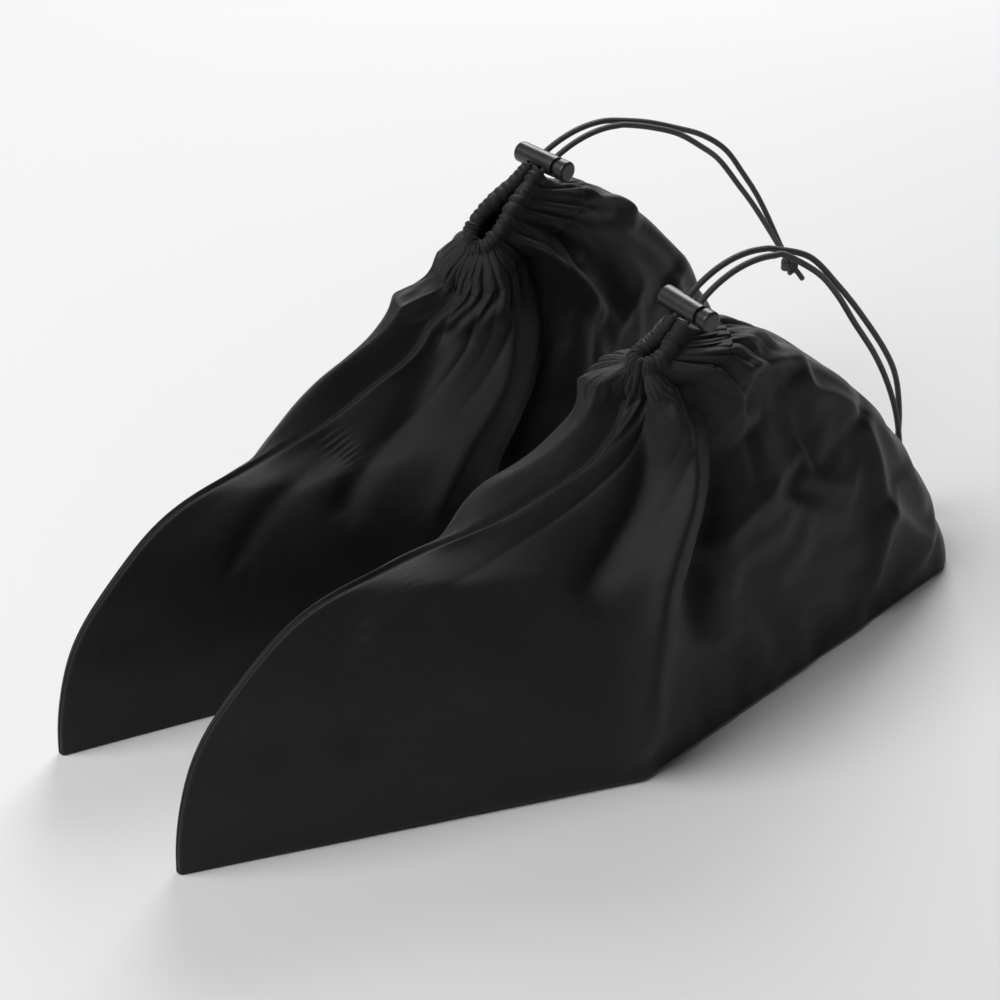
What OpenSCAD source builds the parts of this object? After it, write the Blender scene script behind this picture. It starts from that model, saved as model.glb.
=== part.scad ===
// A pair of drawstring shoe bags, one for each shoe, standing side by side.
// Each bag is two cloth panels that meet in a toe seam and a sole seam, a gathered hem with
// an elastic cord in it, and a barrel cord lock that grips both ends of the cord.
// Millimetres, +Z up. Each bag is drawn with its toe at x = 0 and its heel towards +X, then placed.

/* [Bag body] */
// Length of the base, toe to heel
base_len = 372; // [350:2:390]
// Distance from the toe to the corner of the base
corner_x = 170; // [150:2:190]
// Width from the middle line to the near corner of the base
near_half_w = 61; // [50:1:70]
// Width from the middle line to the far corner of the base
far_half_w = 36; // [30:1:45]
// Width from the middle line to the heel's corners
heel_half_w = 27; // [20:1:30]
// Length of the heel's rounded end
heel_round = 18; // [10:1:24]
// Length of the rounded toe
toe_run = 83; // [70:1:95]
// Height of the front bag's rounded toe
front_toe_rise = 94; // [80:1:105]
// Height of the rear bag's rounded toe
rear_toe_rise = 86; // [80:1:105]
// How far the heel bulges past the end of the base
heel_bulge = 2; // [0:1:8]
// Thickness that the cloth is drawn with
cloth_t = 1; // [0.8:0.1:1.4]

/* [Seams] */
// Thickness of the sewn seam between the panels
seam_t = 2.4; // [1.6:0.2:4]
// How far the toe seam stands proud of the panels
seam_proud = 2; // [1:0.5:3]
// Depth of the seam inside the bag
seam_depth = 5; // [3:0.5:8]
// Gap between soft pieces that lie against each other
soft_gap = 0.3; // [0.2:0.1:0.5]

/* [Front bag's mouth] */
// Place of the hem line on the toe seam, from the toe
front_hem_toe_x = 204; // [196:1:210]
// Height of the hem line on the toe seam
front_hem_toe_z = 127; // [120:1:134]
// Length of the hem line, toe seam to heel
front_hem_len = 46; // [40:1:54]
// How much higher the hem line lies at the heel than at the toe seam
front_hem_rise = 14; // [10:1:18]
// Half the width of the gathered hem line
front_hem_half_w = 16.5; // [14:0.5:19]
// How far the mouth's toe end stands in from the hem line
front_mouth_in = 7; // [5:0.5:9]
// How far the mouth's toe end stands above the hem line
front_mouth_up = 11.5; // [9.5:0.5:14.5]
// Length of the mouth, from its toe end to where the cord leaves the hem
front_mouth_len = 20; // [18:0.5:24]
// How much higher the cord leaves the hem than the mouth's toe end
front_mouth_rise = 12.5; // [10.5:0.5:15.5]
// Angle above level at which the cord leaves the hem
front_exit_angle = 52; // [46:1:56]
// Angle above level of the mouth at its toe end
front_mouth_angle = 12; // [0:1:30]
// Half the width of the mouth between the cords
front_mouth_half_w = 11; // [9:0.5:13]
// Radius of the cord's arch
front_arch_r = 42; // [40:1:48]
// Angle below level at which the cord's arch ends
front_arch_end = 22; // [18:1:26]

/* [Rear bag's mouth] */
// Place of the hem line on the toe seam, from the toe
rear_hem_toe_x = 208; // [200:1:214]
// Height of the hem line on the toe seam
rear_hem_toe_z = 122; // [116:1:128]
// Length of the hem line, toe seam to heel
rear_hem_len = 66; // [60:1:74]
// How much higher the hem line lies at the heel than at the toe seam
rear_hem_rise = 24; // [20:1:28]
// Half the width of the gathered hem line
rear_hem_half_w = 19; // [16:0.5:21]
// How far the mouth's toe end stands in from the hem line
rear_mouth_in = 12; // [10:0.5:14]
// How far the mouth's toe end stands above the hem line
rear_mouth_up = 15; // [13:0.5:18]
// Length of the mouth, from its toe end to where the cord leaves the hem
rear_mouth_len = 34; // [32:0.5:38]
// How much higher the cord leaves the hem than the mouth's toe end
rear_mouth_rise = 23.5; // [21.5:0.5:26.5]
// Angle above level at which the cord leaves the hem
rear_exit_angle = 30; // [26:1:34]
// Angle above level of the mouth at its toe end
rear_mouth_angle = 46; // [40:1:60]
// Half the width of the mouth between the cords
rear_mouth_half_w = 12; // [10:0.5:13]
// Radius of the cord's arch
rear_arch_r = 60; // [56:1:66]
// Angle below level at which the cord's arch ends
rear_arch_end = 13; // [10:1:16]

/* [Hem] */
// Thickness of cloth round the cord in the hem
hem_wall = 0.8; // [0.6:0.1:1.2]
// Room round the cord in the hem's channel
channel_gap = 0.6; // [0.5:0.1:0.9]
// Depth of the gathers at the hem line
gather_depth = 0.8; // [0:0.1:1]
// Number of gathers on each side
gathers = 5; // [3:1:6]

/* [Folds] */
// Width of the panels' main folds
fold_w = 10; // [8:0.5:14]
// Height of the folds that stand out of the panels
fold_rise = 5; // [2:0.5:6]
// Depth of the folds that fall into the panels
fold_fall = 6; // [2:0.5:7]

/* [Cord] */
// Diameter of the elastic cord
cord_d = 2.5; // [2:0.1:3]
// Distance between the two cords where they pass the lock
cord_pitch = 6.4; // [6:0.1:8]
// Diameter of the knot
knot_d = 8.5; // [7:0.5:10]
// Length of the knot
knot_len = 9; // [8:0.5:12]
// Length of the loose ends past the knot
end_len = 10; // [6:1:16]

/* [Cord lock] */
// Outer diameter of the barrel and the button
barrel_d = 8.6; // [8:0.2:10]
// Wall of the barrel
barrel_wall = 1.2; // [1:0.1:1.4]
// Length of the barrel past the cords, where the spring sits
spring_room = 10.3; // [9:0.1:12]
// Length of the barrel past the cords, at the button
guide_len = 4.3; // [4:0.1:6]
// Diameter of the barrel's cord holes
hole_d = 4.2; // [4:0.1:4.6]
// Travel of the button
press = 2; // [1.6:0.1:2.2]
// Length of the button's head
head_len = 4.4; // [3:0.2:6]
// Running clearance of the plunger in the barrel
run_gap = 0.1; // [0.05:0.05:0.2]
// Clearance between a cord and what it lies against in the lock
cord_gap = 0.2; // [0.15:0.05:0.3]
// Diameter of the spring's wire
wire_d = 0.5; // [0.4:0.05:0.6]
// Turns of the spring
spring_turns = 4; // [3:0.5:5]
// Distance along the cord from the hem to the lock's middle
lock_out = 5.2; // [5:0.1:7]

/* [Pair] */
// Gap between the two bags at their corners
pair_gap = 10; // [6:1:30]
// Turn of the rear bag towards the far side
rear_turn = 7; // [5:0.5:10]

/* [Hidden] */
$fn = 48;
FRONT = 0;
REAR = 1;
NEAR = 0;
FAR = 1;

CLOTH = [0.075, 0.075, 0.08];
SEAM = [0.055, 0.055, 0.06];
CORD = [0.12, 0.12, 0.125];
PLASTIC = [0.1, 0.1, 0.105];
STEEL = [0.7, 0.7, 0.72];

// Each value below is a pair: the front bag's and the rear bag's
toe_rise = [front_toe_rise, rear_toe_rise];
hem_toe = [[front_hem_toe_x, front_hem_toe_z], [rear_hem_toe_x, rear_hem_toe_z]];
hem_heel = hem_toe + [[front_hem_len, front_hem_rise], [rear_hem_len, rear_hem_rise]];
hem_half_w = [front_hem_half_w, rear_hem_half_w];
mouth_toe = hem_toe + [[front_mouth_in, front_mouth_up], [rear_mouth_in, rear_mouth_up]];
mouth_exit = mouth_toe + [[front_mouth_len, front_mouth_rise], [rear_mouth_len, rear_mouth_rise]];
mouth_half_w = [front_mouth_half_w, rear_mouth_half_w];
mouth_angle = [front_mouth_angle, rear_mouth_angle];
exit_angle = [front_exit_angle, rear_exit_angle];
arch_r = [front_arch_r, rear_arch_r];
arch_end = [front_arch_end, rear_arch_end];

// The stretch of each tail past its arch and the knot's middle, in the bag's own frame
front_near_fall = [[297, -3, 151], [312, 1, 135], [326, 4, 116], [341, 7, 96],
    [353, 10, 77], [363, 13, 57], [369, 15, 38], [371, 16, 21]];
front_far_fall = [[298, 3, 155], [316, 5, 136], [333, 8, 116], [350, 10, 93],
    [361, 13, 75], [368, 16, 55], [371, 18, 38], [372, 18, 21]];
front_knot_at = [372, 17, 19];
rear_near_fall = [[303, -3, 164], [318, -3, 159], [335, -3, 151], [350, -3, 140],
    [363, -2, 129], [376, -2, 113], [390, -2, 95], [415, -1, 60]];
rear_far_fall = [[305, 3, 163], [322, 3, 158], [340, 3, 150], [357, 3, 141],
    [371, 2, 130], [383, 2, 115], [397, 2, 95], [416, 1, 60]];
rear_knot_at = [417, 0, 58];
near_fall = [front_near_fall, rear_near_fall];
far_fall = [front_far_fall, rear_far_fall];
knot_at = [front_knot_at, rear_knot_at];

// Lines of the main folds, as shares from the toe seam to the heel and from the base to the hem line
FRONT_NEAR_RIDGES = [[[0.36, 1], [0.47, 0.68], [0.49, 0.38], [0.5, 0.06]],
    [[0.56, 0.38], [0.66, 0.52], [0.75, 0.56]], [[0.87, 0.66], [0.85, 0.39], [0.8, 0.08]]];
FRONT_NEAR_VALLEYS = [[[0.46, 1], [0.54, 0.8], [0.56, 0.55], [0.55, 0.2]],
    [[0.7, 0.8], [0.74, 0.66], [0.72, 0.5]]];
FRONT_FAR_RIDGES = [[[0.14, 1], [0.12, 0.85], [0.09, 0.7]],
    [[0.35, 1], [0.42, 0.7], [0.48, 0.35], [0.5, 0.08]]];
FRONT_FAR_VALLEYS = [[[0.5, 1], [0.58, 0.75], [0.6, 0.4]]];
REAR_NEAR_RIDGES = [[[0.24, 1], [0.36, 0.82], [0.42, 0.66], [0.41, 0.4]],
    [[0.5, 1], [0.58, 0.74], [0.67, 0.46]]];
REAR_NEAR_VALLEYS = [[[0.07, 0.75], [0.2, 0.55], [0.28, 0.4], [0.28, 0.16]],
    [[0.42, 0.7], [0.46, 0.5], [0.46, 0.34], [0.43, 0.2]]];
REAR_FAR_RIDGES = [[[0.04, 0.55], [0.07, 0.72], [0.12, 0.9]],
    [[0.3, 1], [0.4, 0.7], [0.48, 0.35], [0.5, 0.08]]];
REAR_FAR_VALLEYS = [[[0.48, 1], [0.52, 0.92], [0.54, 0.84]]];
RIDGES = [[FRONT_NEAR_RIDGES, FRONT_FAR_RIDGES], [REAR_NEAR_RIDGES, REAR_FAR_RIDGES]];
VALLEYS = [[FRONT_NEAR_VALLEYS, FRONT_FAR_VALLEYS], [REAR_NEAR_VALLEYS, REAR_FAR_VALLEYS]];

// Panel grid, cord and spring detail
PANEL_U = 30;
PANEL_V = 14;
EDGE_SHARE = 0.08;
TOE_SHARE = 0.45;
HEM_STEPS = 12;
HEM_CORD_STEPS = 8;
ARCH_STEPS = 6;
CORD_SIDES = 8;
WIRE_SIDES = 6;
RINGS_PER_TURN = 8;
SLOPE_STEP = 0.01;
KNOT_WAIST = 0.7;
KNOT_SPREAD = 14;
NECK_REACH = 60;
NECK_DROP = [20, 34];
NECK_LEAN = 10;
HEEL_LOW = 34;
HEEL_SHOULDER = [64, 24];
HEEL_STRAIGHT = 0.8;

half_ws = [near_half_w, far_half_w];
toe_half_w = seam_t / 2 + soft_gap + cloth_t;
lobe_hole_r = cord_d / 2 + channel_gap;
lobe_r = lobe_hole_r + hem_wall;

function mix(a, b, t) = a + (b - a) * t;
function unit(v) = v / norm(v);
function flat(lists) = [for (l = lists, x = l) x];
function cubic(a, b, c, d, t) =
    a * pow(1 - t, 3) + 3 * b * t * pow(1 - t, 2) + 3 * c * t * t * (1 - t) + d * pow(t, 3);
function xz(p, y) = [p.x, y, p.y];

// Lines of the bag
// The toe seam from the base (v = 0) to the hem line (v = 1), as x and z
function seam_line(bag, v) =
    v < TOE_SHARE
        ? let (a = 90 * v / TOE_SHARE) [toe_run * (1 - cos(a)), toe_rise[bag] * sin(a)]
        : cubic([toe_run, toe_rise[bag]], [toe_run + NECK_REACH, toe_rise[bag]],
            hem_toe[bag] - [NECK_LEAN, NECK_DROP[bag]], hem_toe[bag], (v - TOE_SHARE) / (1 - TOE_SHARE));

// The middle of the heel from the base to the hem line, as x and z
function heel_line(bag, v) =
    cubic([base_len, 0], [base_len + heel_bulge, HEEL_LOW],
        hem_heel[bag] + [HEEL_SHOULDER.x, -HEEL_SHOULDER.y], hem_heel[bag], v);

// The base's edge from the toe (u = 0) round the corner to the middle of the heel (u = 1)
function base_edge(u, half_w) =
    u <= 0.5 ? [mix(0, corner_x, 2 * u), -mix(toe_half_w, half_w, 2 * u), 0]
    : let (k = 2 * u - 1, run = base_len - heel_round, a = 90 * (k - HEEL_STRAIGHT) / (1 - HEEL_STRAIGHT))
        k < HEEL_STRAIGHT
            ? mix([corner_x, -half_w, 0], [run, -heel_half_w, 0], k / HEEL_STRAIGHT)
            : [run + heel_round * sin(a), -heel_half_w * cos(a), 0];

// The hem line from the toe seam to the middle of the heel, moved inwards by inset
function hem_line(bag, u, inset = 0) =
    let (s = (1 - cos(180 * u)) / 2, along = mix(hem_toe[bag], hem_heel[bag], s),
         inner_toe = mix(0, inset, u), half = hem_half_w[bag] - inset)
    [along.x - inner_toe, -mix(toe_half_w - inset, 0, u) - half * sin(180 * u), along.y];

// The middle of the cord's channel round one side of the mouth, from the toe seam to the exit
function mouth_line(bag, p) =
    let (from = mouth_toe[bag], to = mouth_exit[bag], len = to.x - from.x,
         bulb = mouth_half_w[bag] / len, half_pitch = cord_pitch / 2, k = 2 * p - 1,
         s = p < 0.5 ? bulb * (1 - cos(180 * p)) : mix(bulb, 1, k),
         y = p < 0.5 ? mouth_half_w[bag] * sin(180 * p)
             : half_pitch + (mouth_half_w[bag] - half_pitch) * (1 + cos(180 * k)) / 2,
         rise0 = len * tan(mouth_angle[bag]), rise1 = len * tan(exit_angle[bag]))
    [from.x + len * s, -y,
     from.y * (1 - 3 * s * s + 2 * pow(s, 3)) + to.y * (3 * s * s - 2 * pow(s, 3))
         + rise0 * s * pow(1 - s, 2) + rise1 * s * s * (s - 1)];

// Centre of the cord's arch, and a point of it where the cord lies at an angle above level
function arch_centre(bag) = mouth_exit[bag] + arch_r[bag] * [sin(exit_angle[bag]), -cos(exit_angle[bag])];
function arch_point(bag, angle) = arch_centre(bag) + arch_r[bag] * [-sin(angle), cos(angle)];
function lock_angle(bag) = exit_angle[bag] - lock_out / arch_r[bag] * 180 / PI;

// Panel skin: a patch between the base's edge, the hem line, the toe seam and the heel, with gathers
function smooth_skin(bag, half_w, u, v) =
    let (edge = base_edge(u, half_w), hem = hem_line(bag, u),
         toe = xz(seam_line(bag, v), -toe_half_w), heel = xz(heel_line(bag, v), 0))
    mix(edge, hem, v) + mix(toe, heel, u)
        - mix(mix(base_edge(0, half_w), base_edge(1, half_w), u),
            mix(hem_line(bag, 0), hem_line(bag, 1), u), v);

function inward(bag, half_w, u, v) =
    let (u0 = max(0, u - SLOPE_STEP), u1 = min(1, u + SLOPE_STEP),
         v0 = max(0, v - SLOPE_STEP), v1 = min(1, v + SLOPE_STEP),
         along = smooth_skin(bag, half_w, u1, v) - smooth_skin(bag, half_w, u0, v),
         up = smooth_skin(bag, half_w, u, v1) - smooth_skin(bag, half_w, u, v0),
         n = unit(cross(up, along)))
    u == 0 ? [0, 1, 0] : u == 1 ? unit([n.x, 0, n.z]) : n;

// Distance from a point to a line of points, and how near a point is to the closest line, 1 on it
function to_stretch(p, a, b) =
    norm(p - mix(a, b, max(0, min(1, (p - a) * (b - a) / ((b - a) * (b - a))))));
function to_line(p, line) = min([for (k = [1:len(line) - 1]) to_stretch(p, line[k - 1], line[k])]);
function nearness(p, lines) = max([for (l = lines) pow(1 + pow(to_line(p, l) / fold_w, 2), -1.5)]);
function on_skin(lines) =
    [for (bag = [FRONT, REAR]) [for (side = [NEAR, FAR]) [for (line = lines[bag][side])
        [for (share = line) smooth_skin(bag, half_ws[side], share[0], share[1])]]]];
ridges = on_skin(RIDGES);
valleys = on_skin(VALLEYS);
function ease(share) = let (t = max(0, min(1, share / EDGE_SHARE))) t * t * (3 - 2 * t);

function skin(bag, side, u, v) =
    let (half_w = half_ws[side], p = smooth_skin(bag, half_w, u, v),
         gather = gather_depth * sin(180 * u) * sin(360 * gathers * u) * pow(v, 4) * (1 - pow(v, 12)),
         fold = fold_fall * nearness(p, valleys[bag][side]) - fold_rise * nearness(p, ridges[bag][side]))
    p + inward(bag, half_w, u, v) * (gather + fold * ease(u) * ease(1 - u) * ease(v) * ease(1 - v));

function lining(bag, side, u, v) =
    let (outer = skin(bag, side, u, v), n = inward(bag, half_ws[side], u, v))
    v == 0 ? [outer.x + (u == 1 ? -cloth_t : 0), u == 1 ? 0 : outer.y + cloth_t, cloth_t]
    : v == 1 ? hem_line(bag, u, cloth_t)
    : outer + cloth_t * n;

// Triangles of a quad, leaving out those with no area
function quad(a, b, c, d) =
    [for (t = [[a, b, c], [a, c, d]]) if (t[0] != t[1] && t[1] != t[2] && t[2] != t[0]) t];

// One cloth panel of the near side: half the base and one side, up to the hem line
module panel(bag, side) {
    n = PANEL_U;
    m = PANEL_V;
    grid = (n + 1) * (m + 1);
    function at(i, j) = i * (m + 1) + j;
    function in(i, j) = grid + at(i, j);
    function mid(i) = i < n ? 2 * grid + i : at(n, 0);
    function mid_in(i) = i < n ? 2 * grid + n + i : in(n, 0);
    edge = [for (i = [0:n - 1]) base_edge(i / n, half_ws[side])];
    points = concat(
        [for (i = [0:n], j = [0:m]) skin(bag, side, i / n, j / m)],
        [for (i = [0:n], j = [0:m]) lining(bag, side, i / n, j / m)],
        [for (e = edge) [e.x, 0, 0]],
        [for (e = edge) [e.x, 0, cloth_t]]);
    faces = flat(concat(
        [for (i = [0:n - 1], j = [0:m - 1]) quad(at(i, j), at(i, j + 1), at(i + 1, j + 1), at(i + 1, j))],
        [for (i = [0:n - 1], j = [0:m - 1]) quad(in(i, j), in(i + 1, j), in(i + 1, j + 1), in(i, j + 1))],
        [for (i = [0:n - 1]) quad(mid(i), at(i, 0), at(i + 1, 0), mid(i + 1))],
        [for (i = [0:n - 1]) quad(mid_in(i), mid_in(i + 1), in(i + 1, 0), in(i, 0))],
        [for (j = [0:m - 1]) quad(at(0, j), in(0, j), in(0, j + 1), at(0, j + 1))],
        [for (j = [0:m - 1]) quad(at(n, j), at(n, j + 1), in(n, j + 1), in(n, j))],
        [for (i = [0:n - 1]) quad(at(i, m), in(i, m), in(i + 1, m), at(i + 1, m))],
        [for (i = [0:n - 1]) quad(mid(i + 1), mid_in(i + 1), mid_in(i), mid(i))],
        [quad(mid(0), mid_in(0), in(0, 0), at(0, 0))]));
    color(CLOTH) polyhedron(points, faces);
}

// The sewn edges of the two panels along the toe: a strip that stands proud of them
module toe_seam(bag) {
    steps = 28;
    last = 0.97;
    function across(v) =
        let (d = seam_line(bag, min(1, v + SLOPE_STEP)) - seam_line(bag, max(0, v - SLOPE_STEP)))
        unit([-d.y, d.x]);
    outer = [for (k = [0:steps])
        seam_line(bag, last * k / steps) + seam_proud * across(last * k / steps)];
    inner = [for (k = [steps:-1:0])
        seam_line(bag, last * k / steps) - seam_depth * across(last * k / steps)];
    color(SEAM)
        intersection() {
            rotate([90, 0, 0]) linear_extrude(seam_t, center = true) polygon(concat(outer, inner));
            translate([-base_len, -seam_t, cloth_t + soft_gap]) cube([3 * base_len, 2 * seam_t, base_len]);
        }
}

// The sewn edges along the middle of the base, folded flat inside the bag
module sole_seam() {
    inset = toe_run / 4;
    width = 2 * seam_depth;
    color(SEAM)
        translate([inset, -width / 2, cloth_t + soft_gap])
            cube([base_len - 2 * inset, width, seam_t / 2]);
}

// One half of the gathered hem: a lobe with the cord's channel in it, and a skirt down to the hem line
module hem(bag) {
    n = HEM_STEPS;
    lobe_angles = [-20, 35, 90, 145, 200, 250];
    hole_angles = [-65, -20, 35, 90, 145, 200, 235, 270];
    sides = len(hole_angles);
    lift = [0, 0, soft_gap];
    function along(p) =
        unit(mouth_line(bag, min(1, p + SLOPE_STEP)) - mouth_line(bag, max(0, p - SLOPE_STEP)));
    function out(p) = p == 0 ? [-1, 0, 0] : p == 1 ? [0, -1, 0] : let (t = along(p)) unit([t.y, -t.x, 0]);
    function over(p) = p == 0 ? [0, 0, 1] : cross(out(p), along(p));
    function round_point(p, r, a) = mouth_line(bag, p) + r * (cos(a) * out(p) + sin(a) * over(p));
    function section(p) = concat(
        [hem_line(bag, p) + lift],
        [for (a = lobe_angles) round_point(p, lobe_r, a)],
        [hem_line(bag, p, cloth_t) + lift],
        [for (a = hole_angles) round_point(p, lobe_hole_r, a)]);
    function skin_at(i, k) = i * 2 * sides + k % sides;
    function hole_at(i, k) = i * 2 * sides + sides + k % sides;
    points = flat([for (i = [0:n]) section(i / n)]);
    faces = flat(concat(
        [for (i = [0:n - 1], k = [0:sides - 1])
            quad(skin_at(i, k), skin_at(i, k + 1), skin_at(i + 1, k + 1), skin_at(i + 1, k))],
        [for (i = [0:n - 1], k = [0:sides - 1])
            quad(hole_at(i, k), hole_at(i + 1, k), hole_at(i + 1, k + 1), hole_at(i, k + 1))],
        [for (k = [0:sides - 1])
            quad(skin_at(0, k), hole_at(0, k), hole_at(0, k + 1), skin_at(0, k + 1))],
        [for (k = [0:sides - 1])
            quad(skin_at(n, k), skin_at(n, k + 1), hole_at(n, k + 1), hole_at(n, k))]));
    color(CLOTH) polyhedron(points, faces);
}

// A round tube along a list of points, with its rings turned to a reference direction
module tube(route, d, sides, reference) {
    last = len(route) - 1;
    function heading(i) = unit(route[min(last, i + 1)] - route[max(0, i - 1)]);
    function ring(i) =
        let (t = heading(i), a = unit(cross(reference, t)), b = cross(t, a))
        [for (k = [0:sides - 1]) route[i] + d / 2 * (cos(360 * k / sides) * a + sin(360 * k / sides) * b)];
    function at(i, k) = i * sides + k % sides;
    points = flat([for (i = [0:last]) ring(i)]);
    faces = concat(
        flat([for (i = [0:last - 1], k = [0:sides - 1])
            quad(at(i, k), at(i + 1, k), at(i + 1, k + 1), at(i, k + 1))]),
        [for (k = [1:sides - 2]) [at(0, 0), at(0, k), at(0, k + 1)]],
        [for (k = [1:sides - 2]) [at(last, 0), at(last, k + 1), at(last, k)]]);
    polyhedron(points, faces);
}

// The cord's run through the hem, from one exit round the toe end of the mouth to the other
module hem_cord(bag) {
    n = HEM_CORD_STEPS;
    near = [for (i = [n:-1:0]) mouth_line(bag, i / n)];
    far = [for (i = [1:n]) let (p = mouth_line(bag, i / n)) [p.x, -p.y, p.z]];
    color(CORD) tube(concat(near, far), cord_d, CORD_SIDES, [0, 0, 1]);
}

// Points of a free tail, from the hem's exit over the arch and down to the knot
function tail_route(bag, side) =
    let (n = ARCH_STEPS, gap = cord_pitch / 2)
    concat(
        [for (i = [0:n]) xz(arch_point(bag, mix(exit_angle[bag], -arch_end[bag], i / n)), side * gap)],
        side < 0 ? near_fall[bag] : far_fall[bag]);

module tail(bag, side) {
    color(CORD) tube(tail_route(bag, side), cord_d, CORD_SIDES, [0, 1, 0]);
}

// The knot that joins the tails, with the two loose ends of the cord past it
module knot(bag) {
    route = near_fall[bag];
    heading = unit(knot_at[bag] - (near_fall[bag][len(route) - 2] + far_fall[bag][len(route) - 2]) / 2);
    tilt = acos(heading.z);
    turn = atan2(heading.y, heading.x);
    swell = knot_len / 2 - knot_d / 2 * KNOT_WAIST;
    color(CORD)
        translate(knot_at[bag]) rotate([0, tilt, turn]) {
            rotate_extrude()
                intersection() {
                    union()
                        for (k = [-1, 1]) translate([knot_d / 2 * (1 - KNOT_WAIST), k * swell])
                            circle(knot_d / 2 * KNOT_WAIST);
                    translate([0, -knot_len]) square([knot_d, 2 * knot_len]);
                }
            for (side = [-1, 1])
                rotate([side * KNOT_SPREAD, 0, 0]) translate([0, -side * cord_d / 2, 0])
                    cylinder(d = cord_d, h = knot_len / 2 + end_len);
        }
}

// Cord lock, drawn with its barrel along Z, its button at +Z and its cords along X
hole_shift = hole_d / 2 - cord_d / 2 - cord_gap;
barrel_top = cord_pitch / 2 + guide_len;
barrel_floor = -cord_pitch / 2 - spring_room;
bore_d = barrel_d - 2 * barrel_wall;
bore_floor = barrel_floor + barrel_wall;
stem_d = bore_d - 2 * run_gap;
slot_w = cord_d + 6 * cord_gap;
slot_len = cord_d + press + 2.5 * cord_gap;
slot_web = barrel_wall;
stem_end = -cord_pitch / 2 - cord_d / 2 - cord_gap - slot_web;
head_floor = barrel_top + press + cord_gap;
edge_r = barrel_wall;

module place_lock(bag) {
    angle = lock_angle(bag);
    translate(xz(arch_point(bag, angle), 0)) rotate([0, -angle, 0]) rotate([90, 0, 0]) children();
}

// A turned solid from low to high with its edge rounded at one end
module turned(d, low, high, round_top) {
    r = d / 2;
    rotate_extrude()
        union() {
            translate([0, round_top ? low : low + edge_r]) square([r, high - low - edge_r]);
            translate([0, round_top ? high - edge_r : low]) square([r - edge_r, edge_r]);
            intersection() {
                translate([r - edge_r, round_top ? high - edge_r : low + edge_r]) circle(edge_r);
                translate([0, low]) square([r, high - low]);
            }
        }
}

module lock_barrel() {
    color(PLASTIC)
        difference() {
            turned(barrel_d, barrel_floor, barrel_top, false);
            translate([0, 0, bore_floor]) cylinder(d = bore_d, h = barrel_top - bore_floor + 1);
            for (k = [-1, 1])
                translate([0, 0, k * cord_pitch / 2 - hole_shift]) rotate([0, 90, 0])
                    cylinder(d = hole_d, h = 2 * barrel_d, center = true);
        }
}

module lock_plunger() {
    color(PLASTIC)
        difference() {
            union() {
                turned(barrel_d, head_floor, head_floor + head_len, true);
                translate([0, 0, stem_end]) cylinder(d = stem_d, h = head_floor - stem_end + edge_r);
            }
            for (k = [-1, 1])
                translate([0, 0, k * cord_pitch / 2 - cord_d / 2 - cord_gap + slot_len / 2])
                    cube([2 * barrel_d, slot_w, slot_len], center = true);
        }
}

// The coil spring between the barrel's floor and the plunger's end
module lock_spring() {
    coil_r = (stem_d - wire_d) / 2 - run_gap;
    low = bore_floor + wire_d / 2 + run_gap;
    high = stem_end - wire_d / 2 - run_gap;
    rings = spring_turns * RINGS_PER_TURN;
    route = [for (i = [0:rings]) let (a = 360 * i / RINGS_PER_TURN)
        [coil_r * cos(a), coil_r * sin(a), mix(low, high, i / rings)]];
    color(STEEL) tube(route, wire_d, WIRE_SIDES, [0, 0, 1]);
}

// Places of the two bags, with the origin under the middle of the pair
rear_shift = [0, far_half_w + pair_gap + near_half_w * cos(rear_turn) - corner_x * sin(rear_turn)];

function placed(bag, p) =
    bag == FRONT ? [p.x, p.y]
    : rear_shift + p.x * [cos(rear_turn), sin(rear_turn)] + p.y * [-sin(rear_turn), cos(rear_turn)];

outline = [for (bag = [FRONT, REAR], side = [NEAR, FAR], i = [0:PANEL_U], j = [0:PANEL_V])
    let (p = smooth_skin(bag, half_ws[side], i / PANEL_U, j / PANEL_V))
    placed(bag, [p.x, side == NEAR ? p.y : -p.y])];
toes = [for (bag = [FRONT, REAR], y = [-seam_t / 2, seam_t / 2]) placed(bag, [-seam_proud, y])];
spots = concat(outline, toes);
middle = [for (k = [0, 1]) let (all = [for (s = spots) s[k]]) (min(all) + max(all)) / 2];

module place_bag(bag) {
    translate([-middle.x, -middle.y, 0])
        translate(bag == FRONT ? [0, 0] : rear_shift) rotate(bag == FRONT ? 0 : rear_turn) children();
}

module far_side() {
    mirror([0, 1, 0]) children();
}

module bag_piece(bag, piece) {
    place_bag(bag) {
        if (piece == "near_panel") panel(bag, NEAR);
        if (piece == "far_panel") far_side() panel(bag, FAR);
        if (piece == "toe_seam") toe_seam(bag);
        if (piece == "sole_seam") sole_seam();
        if (piece == "near_hem") hem(bag);
        if (piece == "far_hem") far_side() hem(bag);
        if (piece == "hem_cord") hem_cord(bag);
        if (piece == "near_tail") tail(bag, -1);
        if (piece == "far_tail") tail(bag, 1);
        if (piece == "knot") knot(bag);
        if (piece == "lock_barrel") place_lock(bag) lock_barrel();
        if (piece == "lock_plunger") place_lock(bag) lock_plunger();
        if (piece == "lock_spring") place_lock(bag) lock_spring();
    }
}

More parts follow.
